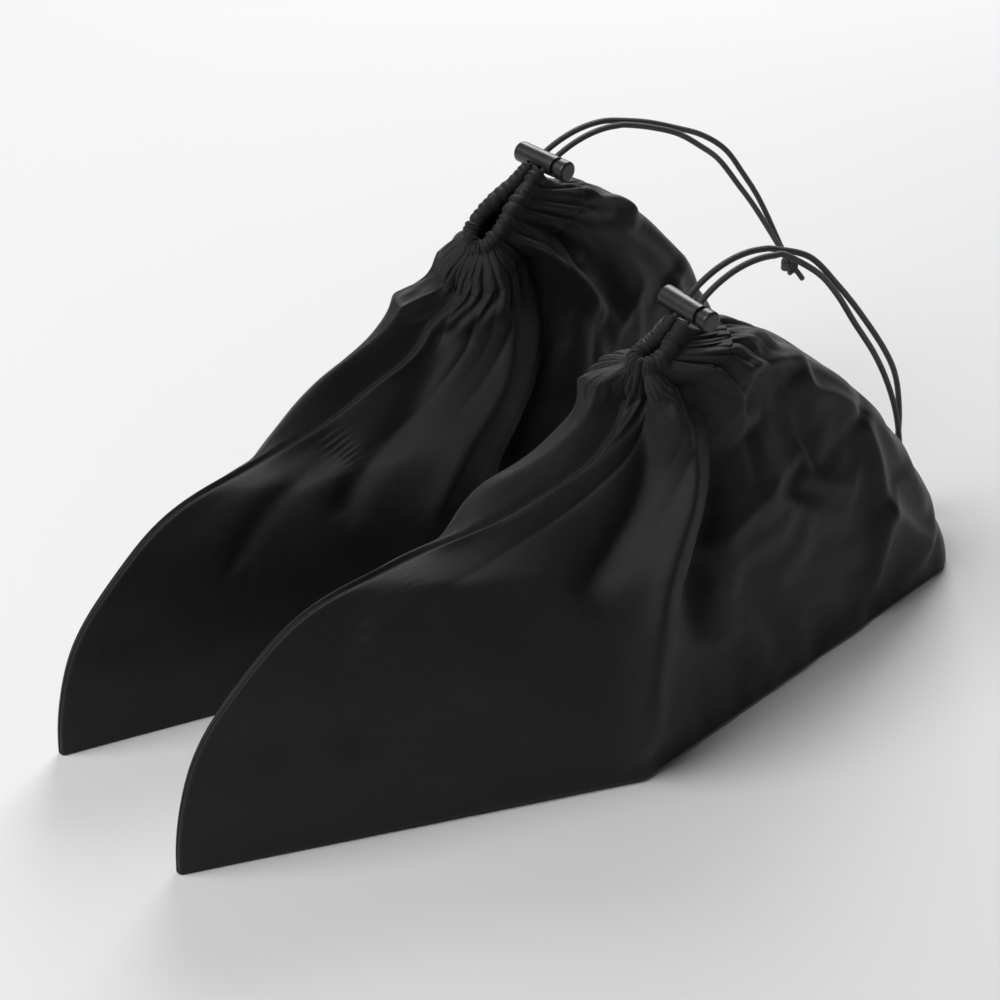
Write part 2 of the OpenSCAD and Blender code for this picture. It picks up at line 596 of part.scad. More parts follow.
bag_piece(FRONT, "near_panel");  // front_near_panel
bag_piece(FRONT, "far_panel");  // front_far_panel
bag_piece(FRONT, "toe_seam");  // front_toe_seam
bag_piece(FRONT, "sole_seam");  // front_sole_seam
bag_piece(FRONT, "near_hem");  // front_near_hem
bag_piece(FRONT, "far_hem");  // front_far_hem
bag_piece(FRONT, "hem_cord");  // front_hem_cord
bag_piece(FRONT, "near_tail");  // front_near_tail
bag_piece(FRONT, "far_tail");  // front_far_tail
bag_piece(FRONT, "knot");  // front_knot
bag_piece(FRONT, "lock_barrel");  // front_lock_barrel
bag_piece(FRONT, "lock_plunger");  // front_lock_plunger
bag_piece(FRONT, "lock_spring");  // front_lock_spring
bag_piece(REAR, "near_panel");  // rear_near_panel
bag_piece(REAR, "far_panel");  // rear_far_panel
bag_piece(REAR, "toe_seam");  // rear_toe_seam
bag_piece(REAR, "sole_seam");  // rear_sole_seam
bag_piece(REAR, "near_hem");  // rear_near_hem
bag_piece(REAR, "far_hem");  // rear_far_hem
bag_piece(REAR, "hem_cord");  // rear_hem_cord
bag_piece(REAR, "near_tail");  // rear_near_tail
bag_piece(REAR, "far_tail");  // rear_far_tail
bag_piece(REAR, "knot");  // rear_knot
bag_piece(REAR, "lock_barrel");  // rear_lock_barrel
bag_piece(REAR, "lock_plunger");  // rear_lock_plunger
bag_piece(REAR, "lock_spring");  // rear_lock_spring
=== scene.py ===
import math
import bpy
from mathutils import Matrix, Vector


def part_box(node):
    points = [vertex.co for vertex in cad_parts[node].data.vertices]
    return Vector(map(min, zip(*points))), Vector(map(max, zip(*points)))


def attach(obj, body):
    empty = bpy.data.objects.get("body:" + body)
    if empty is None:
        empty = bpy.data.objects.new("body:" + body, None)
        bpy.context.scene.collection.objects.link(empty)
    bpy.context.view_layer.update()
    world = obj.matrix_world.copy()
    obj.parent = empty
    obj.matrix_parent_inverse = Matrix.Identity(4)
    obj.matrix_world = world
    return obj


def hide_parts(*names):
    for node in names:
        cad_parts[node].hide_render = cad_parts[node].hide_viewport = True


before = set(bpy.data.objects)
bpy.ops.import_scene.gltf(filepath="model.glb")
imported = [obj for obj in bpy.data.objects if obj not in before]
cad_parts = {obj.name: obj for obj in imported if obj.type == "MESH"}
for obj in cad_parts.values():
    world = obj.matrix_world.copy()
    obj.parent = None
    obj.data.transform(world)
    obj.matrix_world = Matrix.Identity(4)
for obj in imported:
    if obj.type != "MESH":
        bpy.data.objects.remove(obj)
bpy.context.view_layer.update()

from types import SimpleNamespace

import bmesh
import bpy
import numpy as np
from mathutils import Matrix, Vector, noise

# Sizes are millimetres in each bag's own frame: toe at x = 0, heel towards +X, near side towards -Y
MM = 0.001

# Bag body
BASE_LEN = 372
CORNER_X = 170
NEAR_HALF_W = 61
FAR_HALF_W = 36
HEEL_HALF_W = 27
HEEL_ROUND = 18
HEEL_BULGE = 2
TOE_RUN = 83
TOE_SHARE = 0.45
NECK_REACH = 60
NECK_LEAN = 10
HEEL_LOW = 34
HEEL_SHOULDER = (64, -24)
HEEL_STRAIGHT = 0.8
HEEL_LAP = 0.8
CLOTH_T = 0.45

# Toe seam: a groove between the rolled edges of the two panels, with the sewn edges inside
SEAM_HALF_T = 1.1
SEAM_SINK = 2.2
SEAM_ROLL = 1.5
SEAM_WANDER = 1.2
SEAM_SPREAD = 25
SEAM_DEPTH = 5
SEAM_GAP = 0.3
EDGE_SHOW = 0.3

# Sewn edges along the base: their height, and how far they wave
SOLE_EDGE_H = 1.6
SOLE_EDGE_WAVE = 0.3

# Gathers, hem channel and stitches
FINE_PLEATS = 16
FINE_DEPTH = 1.7
CHANNEL_R = 2.1
CHANNEL_PUFF = 1.3
CHANNEL_FROM = -20
CHANNEL_TO = 235
HEM_PUFF = 1.6
HEM_PUFF_RUN = 30
MOUTH_GAP = 0.15
TURN_IN = 1.6
TURN_UP = 0.6
UNDER_HEM = 0.7
STITCH_LEN = 1.5
STITCH_PITCH = 2.5
THREAD_D = 0.35

# Folds: a crest's rounding as a share of its width, a fold's run-out as a multiple of its height and at
# most as a share of its length, and the size and height of the cloth's small unevenness
CREST_SHARE = 0.22
FOLD_RUNOUT = 2.5
LONGEST_FADE = 0.4
CRUMPLE_SIZE = 23
CRUMPLE_H = 1.2

# Shares of a panel over which its folds come up from the toe seam, the base and the heel
SEAM_CALM = 0.06
BASE_CALM = 0.08
HEEL_CALM = 0.05

# Cord and knot
CORD_D = 2.5
CORD_PITCH = 6.4
CORD_SIDES = 12
KNOT_R = 2.5
KNOT_LEN = 5
KNOT_TURNS = 2.2
KNOT_TILT = 0.8
KNOT_HUMP = 0.9
END_LEN = 10.5
END_SPREAD = 14

# Mesh detail
COLUMNS = 132
WALL_ROWS = 56
SOLE_ROWS = 10
SHARES = np.linspace(0, 1, COLUMNS + 1) ** 1.2
WELD_DIST = 0.00002
CUT_SIZE = (0.4, 0.22)
THREADS_PER_M = 2600

# Drape: frames, spare cloth, how far the hem is let out, how firmly each part is held, and the share of
# the drape that each part of the finished cloth keeps
DRAPE_FRAMES = 18
SLACK = 0.03
GATHER = 1.25
OPEN_FROM = 0.84
LEAST_RISE = 0.2
FOOT_GRIP = 0.4
CHANNEL_GRIP = 0.4
HEEL_HELD_FROM = 0.94
WALL_GRIP = 0.2
DRAW_FRAMES = 6
PIN_STIFF = 5
BEND = 60
HEEL_DRAPE = 0.6
NECK_DRAPE = 0.6
HEM_DRAPE = 0.35

FRONT = SimpleNamespace(
    name="front", turn=0, toe_rise=94, neck_drop=20, drift=0.3, toe_slack=0.15, tail_len=0.232,
    seam_push=2, seam_lean=-6,
    hem_toe=(204, 127), hem_heel=(250, 141), hem_half_w=16.5,
    mouth_toe=(211, 138.5), mouth_exit=(231, 151), mouth_half_w=5.5,
    mouth_angle=12, exit_angle=52, arch_r=42, arch_end=22,
    near_fall=((297, -3, 151), (312, 1, 135), (326, 4, 116), (341, 7, 96),
               (353, 10, 77), (363, 13, 57), (369, 15, 38), (371, 16, 21)),
    far_fall=((298, 3, 155), (316, 5, 136), (333, 8, 116), (350, 10, 93),
              (361, 13, 75), (368, 16, 55), (371, 18, 38), (372, 18, 21)),
    knot_at=(372, 17, 19))

REAR = SimpleNamespace(
    name="rear", turn=7, toe_rise=86, neck_drop=34, drift=0.7, toe_slack=0.35, tail_len=0.21,
    seam_push=9, seam_lean=-1,
    hem_toe=(208, 122), hem_heel=(274, 146), hem_half_w=19,
    mouth_toe=(220, 137), mouth_exit=(254, 160.5), mouth_half_w=7,
    mouth_angle=46, exit_angle=30, arch_r=60, arch_end=13,
    near_fall=((303, -3, 165.5), (318, -3, 159.5), (335, -3, 151), (350, -3, 140),
               (363, -2, 129), (376, -2, 113), (390, -2, 95), (415, -1, 60)),
    far_fall=((305, 3, 164.8), (322, 3, 158.5), (340, 3, 150), (357, 3, 141),
              (371, 2, 130), (383, 2, 115), (397, 2, 95), (416, 1, 60)),
    knot_at=(417, 0, 58))

# Folds of each panel: points as shares (toe seam to heel, base to hem), height out of the cloth, width
FRONT.near_folds = (
    (((0.31, 1.0), (0.38, 0.86), (0.45, 0.68), (0.48, 0.38), (0.5, 0.03)), 9, 8),
    (((0.42, 1.0), (0.49, 0.85), (0.54, 0.65), (0.55, 0.45), (0.55, 0.2)), -12, 12),
    (((0.12, 1.0), (0.2, 0.89), (0.32, 0.71), (0.37, 0.5), (0.38, 0.34)), -8, 8),
    (((0.59, 1.0), (0.6, 0.84), (0.62, 0.72)), 6, 6),
    (((0.56, 0.38), (0.6, 0.46), (0.66, 0.52), (0.75, 0.56)), 3, 8),
    (((0.72, 0.5), (0.81, 0.37)), 3, 5),
    (((0.62, 0.95), (0.74, 0.91), (0.86, 0.83), (0.92, 0.78)), 6, 5),
    (((0.86, 0.79), (0.82, 0.72), (0.87, 0.66), (0.88, 0.56)), 5, 5),
    (((0.73, 1.0), (0.86, 0.95), (0.99, 0.88)), 4, 5),
    (((0.88, 0.57), (0.85, 0.39), (0.84, 0.28), (0.8, 0.08)), 5, 5),
    (((0.84, 0.3), (0.9, 0.1)), 4, 5),
    (((0.66, 0.88), (0.72, 0.74), (0.74, 0.6), (0.7, 0.42)), -5, 16),
    (((0.17, 0.14), (0.18, 0.36)), -1.5, 8),
    (((0.09, 0.14), (0.1, 0.34)), -1.2, 7),
)
FRONT.far_folds = (
    (((0.15, 1.0), (0.13, 0.85), (0.1, 0.7), (0.07, 0.55)), 10, 11),
    (((0.35, 1.0), (0.42, 0.7), (0.48, 0.35), (0.5, 0.08)), 5, 10),
    (((0.5, 1.0), (0.58, 0.75), (0.6, 0.4)), -6, 10),
    (((0.66, 1.0), (0.72, 0.75), (0.7, 0.5)), 5, 7),
    (((0.8, 0.98), (0.9, 0.8), (0.84, 0.6), (0.88, 0.3)), 4, 6),
)
REAR.near_folds = (
    (((0.05, 0.92), (0.13, 0.75), (0.2, 0.62), (0.24, 0.48), (0.28, 0.3)), -4, 8),
    (((0.28, 1.0), (0.34, 0.82), (0.4, 0.64), (0.41, 0.45), (0.4, 0.25)), 6, 9),
    (((0.44, 1.0), (0.49, 0.85), (0.52, 0.65), (0.53, 0.45), (0.5, 0.2)), -12, 13),
    (((0.51, 1.0), (0.57, 0.88), (0.61, 0.76), (0.66, 0.64)), 7, 6),
    (((0.6, 1.0), (0.64, 0.9), (0.68, 0.78), (0.72, 0.6)), -7, 9),
    (((0.12, 0.55), (0.15, 0.42), (0.16, 0.24)), -2.5, 7),
    (((0.9, 1.0), (0.88, 0.95), (0.94, 0.87), (0.92, 0.8)), 4, 5),
    (((0.86, 0.6), (0.84, 0.35), (0.8, 0.1)), 3, 8),
)
REAR.far_folds = (
    (((0.05, 0.5), (0.08, 0.7), (0.12, 0.86), (0.14, 0.98)), 14, 14),
    (((0.3, 1.0), (0.4, 0.7), (0.48, 0.35), (0.5, 0.08)), 5, 10),
    (((0.48, 1.0), (0.52, 0.92), (0.54, 0.84)), -6, 10),
    (((0.68, 1.0), (0.74, 0.75), (0.7, 0.5)), 5, 7),
    (((0.85, 0.98), (0.92, 0.8), (0.86, 0.6), (0.88, 0.3)), 4, 6),
)

# Creases from the gathered hem down each panel: share round the hem, depth, run below the hem, and width
# as a share
FRONT.near_creases = (
    (0.05, 1.2, 10, 0.012), (0.16, 4.2, 45, 0.03), (0.36, 1.8, 16, 0.012), (0.41, 3.6, 40, 0.03),
    (0.48, 1.4, 12, 0.012), (0.62, 5, 60, 0.028), (0.7, 1.6, 16, 0.012), (0.78, 2.4, 34, 0.016),
    (0.86, 1.6, 16, 0.012), (0.93, 1.4, 12, 0.012))
FRONT.far_creases = (
    (0.04, 1.6, 16, 0.012), (0.22, 3.4, 40, 0.02), (0.3, 2.2, 20, 0.014), (0.37, 2, 14, 0.012),
    (0.46, 3, 34, 0.018), (0.55, 1.8, 14, 0.012), (0.63, 2.6, 40, 0.016), (0.72, 1.8, 14, 0.012),
    (0.81, 2.2, 24, 0.014), (0.9, 1.4, 12, 0.012))
REAR.near_creases = (
    (0.08, 2, 12, 0.012), (0.14, 1.6, 10, 0.01), (0.2, 2.4, 30, 0.014), (0.27, 2, 14, 0.012),
    (0.33, 2.6, 26, 0.014), (0.4, 1.8, 14, 0.012), (0.47, 4.6, 60, 0.022), (0.56, 1.8, 14, 0.012),
    (0.63, 3.4, 45, 0.018), (0.72, 2, 20, 0.014), (0.8, 1.8, 14, 0.012), (0.9, 1.6, 12, 0.012))
REAR.far_creases = (
    (0.06, 2.4, 30, 0.016), (0.13, 1.6, 12, 0.012), (0.2, 2.6, 26, 0.014), (0.27, 1.6, 12, 0.012),
    (0.34, 2.2, 20, 0.014), (0.41, 1.8, 14, 0.012), (0.49, 3.4, 45, 0.018), (0.58, 1.8, 14, 0.012),
    (0.66, 2.6, 34, 0.016), (0.75, 1.8, 14, 0.012), (0.84, 2, 20, 0.014), (0.92, 1.4, 12, 0.012))
BAGS = (FRONT, REAR)


# Lines of the bag

def mix(a, b, t):
    return a + (b - a) * t


def column(values):
    return np.asarray(values, float)[..., None]


def ease(low, high, values):
    t = np.clip((np.asarray(values, float) - low) / (high - low), 0, 1)
    return t * t * (3 - 2 * t)


def unit(vectors):
    return vectors / np.linalg.norm(vectors, axis=-1, keepdims=True)


def cubic(a, b, c, d, t):
    a, b, c, d = (np.array(p, float) for p in (a, b, c, d))
    t = column(t)
    return a * (1 - t) ** 3 + 3 * b * t * (1 - t) ** 2 + 3 * c * t * t * (1 - t) + d * t ** 3


def at_y(flat, y):
    return np.stack([flat[..., 0], y + 0 * flat[..., 0], flat[..., 1]], -1)


def seam_line(bag, v):
    """The toe seam from the base (v = 0) to the hem line (v = 1), as x and z."""
    angle = math.pi / 2 * np.clip(v / TOE_SHARE, 0, 1)
    toe = np.stack([TOE_RUN * (1 - np.cos(angle)), bag.toe_rise * np.sin(angle)], -1)
    hem = np.array(bag.hem_toe)
    past_toe = np.clip((v - TOE_SHARE) / (1 - TOE_SHARE), 0, 1)
    neck = cubic((TOE_RUN, bag.toe_rise), (TOE_RUN + NECK_REACH, bag.toe_rise),
                 hem - (NECK_LEAN, bag.neck_drop), hem, past_toe)
    return np.where(column(v) < TOE_SHARE, toe, neck)


def heel_line(bag, v):
    """The middle of the heel from the base to the hem line, as x and z."""
    hem = np.array(bag.hem_heel)
    return cubic((BASE_LEN, 0), (BASE_LEN + HEEL_BULGE, HEEL_LOW), hem + HEEL_SHOULDER, hem, v)


def base_edge(u, half_w):
    """The edge of the base from the toe (u = 0) round the corner to the middle of the heel (u = 1)."""
    t = np.clip(2 * u, 0, 1)
    k = np.clip(2 * u - 1, 0, 1)
    run = BASE_LEN - HEEL_ROUND
    straight = np.clip(k / HEEL_STRAIGHT, 0, 1)
    turn = math.pi / 2 * np.clip((k - HEEL_STRAIGHT) / (1 - HEEL_STRAIGHT), 0, 1)
    x = np.where(u <= 0.5, CORNER_X * t, mix(CORNER_X, run, straight) + HEEL_ROUND * np.sin(turn))
    heel_y = mix(half_w, HEEL_HALF_W, straight) * np.cos(turn)
    y = np.where(u <= 0.5, mix(SEAM_HALF_T, half_w, t), heel_y)
    return np.stack([x, -y, 0 * x], -1)


def hem_line(bag, u):
    """The hem's stitch line from the toe seam to the middle of the heel."""
    toe, heel = np.array(bag.hem_toe, float), np.array(bag.hem_heel, float)
    along = mix(toe, heel, column((1 - np.cos(math.pi * u)) / 2))
    return at_y(along, -mix(SEAM_HALF_T, 0, u) - bag.hem_half_w * np.sin(math.pi * u))


def mouth_line(bag, p):
    """The cord's line round one side of the mouth, from the toe seam to where it leaves the hem."""
    (x0, z0), (x1, z1) = bag.mouth_toe, bag.mouth_exit
    length = x1 - x0
    bulb = bag.mouth_half_w / length
    k = 2 * p - 1
    s = np.where(p < 0.5, bulb * (1 - np.cos(math.pi * p)), mix(bulb, 1, k))
    taper = CORD_PITCH / 2 + (bag.mouth_half_w - CORD_PITCH / 2) * (1 + np.cos(math.pi * k)) / 2
    y = np.where(p < 0.5, bag.mouth_half_w * np.sin(math.pi * p), taper)
    start = length * math.tan(math.radians(bag.mouth_angle))
    end = length * math.tan(math.radians(bag.exit_angle))
    z = z0 * (1 - 3 * s ** 2 + 2 * s ** 3) + z1 * (3 * s ** 2 - 2 * s ** 3)
    z = z + start * s * (1 - s) ** 2 + end * s * s * (s - 1)
    return np.stack([x0 + length * s, -y, z], -1)


def smooth_skin(bag, half_w, u, v):
    """A patch between the base's edge, the hem line, the toe seam and the heel."""
    u, v = np.asarray(u, float), np.asarray(v, float)
    zero, one = 0 * u, 0 * u + 1
    across = mix(base_edge(u, half_w), hem_line(bag, u), column(v))
    upward = mix(at_y(seam_line(bag, v), -SEAM_HALF_T), at_y(heel_line(bag, v), 0), column(u))
    low = mix(base_edge(zero, half_w), base_edge(one, half_w), column(u))
    high = mix(hem_line(bag, zero), hem_line(bag, one), column(u))
    return across + upward - mix(low, high, column(v))


def outward(points):
    return unit(np.cross(np.gradient(points, axis=0), np.gradient(points, axis=1)))


# Folds and gathers

def rounded(line, times=3):
    """A line of points with its corners cut off, a quarter at each end of each stretch."""
    points = np.array(line, float)
    for _ in range(times):
        a, b = points[:-1], points[1:]
        cut = np.stack([mix(a, b, 0.25), mix(a, b, 0.75)], 1).reshape(-1, points.shape[1])
        points = np.concatenate([points[:1], cut, points[-1:]])
    return points


def fold_lift(bag, half_w, points, fold):
    """How far one fold lifts each point of the panel off its smooth skin."""
    line, height, width = fold
    shares = rounded(line)
    spine = smooth_skin(bag, half_w, shares[:, 0], shares[:, 1])
    start, step = spine[:-1], np.diff(spine, axis=0)
    flat = points.reshape(-1, 1, 3)
    t = np.clip(((flat - start) * step).sum(-1) / (step ** 2).sum(-1), 0, 1)
    gap = np.linalg.norm(flat - start - t[..., None] * step, axis=-1)
    nearest = gap.argmin(1)
    rows = np.arange(len(nearest))
    along = (nearest + t[rows, nearest]) / len(start)
    ending = min(LONGEST_FADE, FOLD_RUNOUT * abs(height) / np.linalg.norm(step, axis=-1).sum())
    fade = ease(0, ending, 1 - along) * np.where(line[0][1] == 1.0, 1, ease(0, ending, along))
    reach = gap[rows, nearest]
    round_r = CREST_SHARE * width
    crest = np.exp((round_r - np.hypot(reach, round_r)) / width)
    hollow = (1 + (reach / width) ** 2) ** -1.5
    lift = height * fade * (crest if height > 0 else hollow)
    return lift.reshape(points.shape[:2])


def creases(bag, side, u, below):
    """How deep the gathers' creases are, by share round the hem and distance below its stitch line."""
    depth = 0 * u
    for at, deep, run, width in getattr(bag, side + "_creases"):
        depth = depth + deep * np.exp(-np.abs(u - at) / width) * np.exp(-below / run)
    return depth * ease(0, 0.04, u)


def fine_pleats(bag, u):
    """Small ruffles of the cloth that is pushed together on the cord, from 0 in a crease to 1."""

    def wave(times):
        return np.sin(2 * math.pi * (times * u + bag.drift))

    wander = 0.35 * wave(2.3) + 0.2 * wave(5.7)
    height = 0.7 + 0.3 * wave(3.7)
    return height * np.abs(np.cos(math.pi * (FINE_PLEATS * u + wander))) ** 0.7


def crumple(points, scale, height):
    """Small unevenness of the cloth, the same on each run."""
    spots = points.reshape(-1, 3) / scale
    return height * np.array([noise.noise(Vector(s)) for s in spots]).reshape(points.shape[:2])


def seam_inward(bag, v):
    """The direction into the bag across the toe seam."""
    along = unit(np.gradient(seam_line(bag, v), axis=0))
    return at_y(np.stack([along[:, 1], -along[:, 0]], -1), 0)


def seam_stray(bag, v):
    """How far the toe seam strays from its line: a little to and fro, and outwards at the neck."""
    wave = np.sin(2 * math.pi * (2.2 * v + 0.1)) + 0.5 * np.sin(2 * math.pi * (5.3 * v + 0.4))
    neck = ease(0.5, 0.75, v) * ease(0, 0.1, 1 - v)
    sideways = SEAM_WANDER * wave * ease(0, 0.15, v) + bag.seam_lean * neck
    return column(sideways) * (0, 1, 0) - column(bag.seam_push * neck) * seam_inward(bag, v)


def wall(bag, side):
    """One panel's wall before it drapes, on a grid of shares: toe seam to heel, base to stitch line."""
    half_w = NEAR_HALF_W if side == "near" else FAR_HALF_W
    folds = bag.near_folds if side == "near" else bag.far_folds
    u, v = np.meshgrid(SHARES, np.linspace(0, 1, WALL_ROWS + 1), indexing="ij")
    points = smooth_skin(bag, half_w, u, v)
    from_seam = np.linalg.norm(points - points[:1], axis=-1)
    below = np.linalg.norm(points - points[:, -1:], axis=-1)
    lift = HEM_PUFF * np.exp(-below / HEM_PUFF_RUN) - creases(bag, side, u, below)
    lift = lift + crumple(points, CRUMPLE_SIZE, CRUMPLE_H)
    for fold in folds:
        lift = lift + fold_lift(bag, half_w, points, fold)
    free = ease(0, SEAM_CALM, u) * ease(0, BASE_CALM, v) * ease(0, HEEL_CALM, 1 - u)
    points = points + outward(points) * (lift * free)[..., None]
    roll = np.exp(-(from_seam / SEAM_ROLL) ** 2)
    points = points + column(SEAM_SINK * roll) * seam_inward(bag, v[0])
    points[..., 1] += roll * (SEAM_HALF_T - SEAM_GAP)
    if side == "far":
        points = points * (1, -1, 1)
    return points + seam_stray(bag, v[0]) * np.exp(-from_seam / SEAM_SPREAD)[..., None]


# Meshes

def grid_mesh(name, points, weld=True):
    """A sheet through a grid of points, with its place on the cut cloth in a UV map."""
    columns, rows = points.shape[0] - 1, points.shape[1] - 1
    bm = bmesh.new()
    bmesh.ops.create_grid(bm, x_segments=columns, y_segments=rows, size=0.5)
    uv = bm.loops.layers.uv.new("UVMap")
    for face in bm.faces:
        for loop in face.loops:
            loop[uv].uv = (loop.vert.co.xy + Vector((0.5, 0.5))) * Vector(CUT_SIZE)
    place = bm.verts.layers.float_vector.new("place")
    for vert in bm.verts:
        i = round((vert.co.x + 0.5) * columns)
        j = round((vert.co.y + 0.5) * rows)
        vert[place] = (i, j, 0)
        vert.co = points[i, j]
    if weld:
        bmesh.ops.remove_doubles(bm, verts=bm.verts, dist=WELD_DIST)
    return finished_mesh(name, bm)


def finished_mesh(name, bm):
    mesh = bpy.data.meshes.new(name)
    bm.to_mesh(mesh)
    bm.free()
    mesh.polygons.foreach_set("use_smooth", [True] * len(mesh.polygons))
    return mesh


def placed(bag):
    """From the bag's own frame in millimetres to the row frame in metres."""
    low, high = (Vector(corner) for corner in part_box(bag.name + "_sole_seam"))
    middle = (low + high) / 2
    middle.z = 0
    turn = Matrix.Rotation(math.radians(bag.turn), 4, "Z")
    from_toe = Matrix.Translation((-BASE_LEN / 2 * MM, 0, 0))
    return Matrix.Translation(middle) @ turn @ from_toe @ Matrix.Scale(MM, 4)


def moved_by(matrix, points):
    matrix = np.array(matrix)
    return np.asarray(points, float) @ matrix[:3, :3].T + matrix[:3, 3]


def to_row(bag, points):
    return moved_by(placed(bag), points)


def piece(bag, name, mesh, material):
    mesh.name = bag.name + "_" + name
    obj = bpy.data.objects.new(bag.name + "_" + name, mesh)
    bpy.context.scene.collection.objects.link(obj)
    mesh.materials.append(material)
    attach(obj, bag.name + "_bag")
    return obj


def cloth_finish(obj):
    thick = obj.modifiers.new("thickness", "SOLIDIFY")
    thick.thickness = CLOTH_T * MM
    thick.offset = -1
    smooth = obj.modifiers.new("smooth", "SUBSURF")
    smooth.levels = 1
    smooth.render_levels = 1


# Drape

def slack(bag, u, v):
    """Spare cloth as a share of the most: little on the toe, more at the neck and the heel."""
    return np.maximum(bag.toe_slack, np.maximum(ease(0.62, 0.9, v), ease(0.45, 0.65, u)))


def opened(points, v):
    """The same cloth with its hem let out, which gives the cloth its length before it was gathered."""
    foot = points[:, WALL_ROWS]
    spread = (foot - foot.mean(0)) * (1, 1, 0)
    out = points + (GATHER - 1) * ease(OPEN_FROM, 1, v)[..., None] * spread[:, None]
    step = np.diff(points, axis=1)
    level = np.linalg.norm(np.diff(out, axis=1)[..., :2], axis=-1)
    length = np.linalg.norm(step, axis=-1)
    rise = np.sqrt(np.maximum(length ** 2 - level ** 2, (LEAST_RISE * length) ** 2))
    rise = np.where(np.arange(rise.shape[1]) < WALL_ROWS, rise, step[..., 2])
    out[:, 1:, 2] = out[:, :1, 2] + np.cumsum(rise, 1)
    return out


def grip(u, v, rows_up):
    """How firmly each point is held: the base and toe seam hard, the cord's channel softly."""
    hem = rows_up > 0
    hard = np.maximum.reduce([v <= 0, (u <= SHARES[3]) & ~hem, hem & (u > HEEL_HELD_FROM)])
    soft = np.where(rows_up == 0, FOOT_GRIP, np.where(hem, CHANNEL_GRIP, WALL_GRIP))
    return np.where(hard, 1.0, soft)


def drape_share(u, v, rows_up):
    """How much of the drape stays in the finished cloth: none on the toe, most at the heel and neck."""
    walls = np.maximum(HEEL_DRAPE * ease(0.3, 0.6, u), NECK_DRAPE * ease(0.82, 0.97, v))
    return mix(walls, HEM_DRAPE, ease(0, 6, rows_up))


def drape(bag, near, far):
    """Lets the walls and the hem settle as one gathered cloth, held at the base, toe seam and cord."""
    ring = np.concatenate([near, far[-2::-1]])
    wide = opened(ring, np.minimum(np.arange(ring.shape[1]) / WALL_ROWS, 1)[None, :])
    mesh = grid_mesh("drape", to_row(bag, wide), weld=False)
    obj = bpy.data.objects.new("drape", mesh)
    scene = bpy.context.scene
    scene.collection.objects.link(obj)
    places = np.array([d.vector for d in mesh.attributes["place"].data]).round().astype(int)
    i, j = places[:, 0], places[:, 1]
    u = SHARES[np.minimum(i, 2 * COLUMNS - i)]
    v = np.minimum(j / WALL_ROWS, 1)
    held = obj.vertex_groups.new(name="held")
    taut = obj.vertex_groups.new(name="taut")
    for index, (firm, loose) in enumerate(zip(grip(u, v, j - WALL_ROWS), slack(bag, u, v))):
        held.add([index], float(firm), "REPLACE")
        taut.add([index], float(1 - loose), "REPLACE")
    obj.shape_key_add(name="let_out")
    drawn = obj.shape_key_add(name="gathered")
    for index, spot in enumerate(to_row(bag, ring)[i, j]):
        drawn.data[index].co = spot
    for value, number in ((0, 1), (1, DRAW_FRAMES)):
        drawn.value = value
        drawn.keyframe_insert("value", frame=number)
    cloth = obj.modifiers.new("drape", "CLOTH")
    cloth.settings.quality = 4
    cloth.settings.mass = 0.3
    cloth.settings.air_damping = 2
    cloth.settings.tension_stiffness = 30
    cloth.settings.compression_stiffness = 30
    cloth.settings.shear_stiffness = 10
    cloth.settings.bending_stiffness = BEND
    cloth.settings.vertex_group_mass = "held"
    cloth.settings.pin_stiffness = PIN_STIFF
    cloth.settings.vertex_group_shrink = "taut"
    cloth.settings.shrink_min = -SLACK
    cloth.settings.shrink_max = 0
    cloth.settings.effector_weights.gravity = 0
    cloth.collision_settings.use_collision = False
    cloth.point_cache.frame_end = DRAPE_FRAMES
    for number in range(1, DRAPE_FRAMES + 1):
        scene.frame_set(number)
    settled = obj.evaluated_get(bpy.context.evaluated_depsgraph_get()).data
    spots = np.zeros(ring.shape)
    spots[i, j] = [vert.co for vert in settled.vertices]
    scene.frame_set(1)
    bpy.data.objects.remove(obj)
    spots = moved_by(placed(bag).inverted(), spots)
    share = np.zeros(ring.shape[:2])
    share[i, j] = drape_share(u, v, j - WALL_ROWS)
    spots = mix(ring, spots, share[..., None])
    return spots[:COLUMNS + 1], spots[COLUMNS:][::-1]


# Materials

def add_node(tree, kind, inputs=(), **settings):
    """A node with its settings and inputs: an input is a value, or a socket to link."""
    node = tree.nodes.new(kind)
    for name, value in settings.items():
        setattr(node, name, value)
    for key, value in dict(inputs).items():
        if isinstance(value, bpy.types.NodeSocket):
            tree.links.new(value, node.inputs[key])
        else:
            node.inputs[key].default_value = value
    return node


def maths(tree, operation, *values):
    return add_node(tree, "ShaderNodeMath", dict(enumerate(values)), operation=operation).outputs[0]


def thread_wave(tree, value):
    """The rounded top of a thread or strand: 0 at each whole number and 1 between them."""
    return maths(tree, "ABSOLUTE", maths(tree, "SINE", maths(tree, "MULTIPLY", value, math.pi)))


def effect_group(name, inputs, outputs):
    """An empty shader group with named sockets, and its input and output nodes."""
    tree = bpy.data.node_groups.new(name, "ShaderNodeTree")
    for socket, kind in inputs:
        tree.interface.new_socket(socket, in_out="INPUT", socket_type=kind)
    for socket, kind in outputs:
        tree.interface.new_socket(socket, in_out="OUTPUT", socket_type=kind)
    return tree, tree.nodes.new("NodeGroupInput"), tree.nodes.new("NodeGroupOutput")


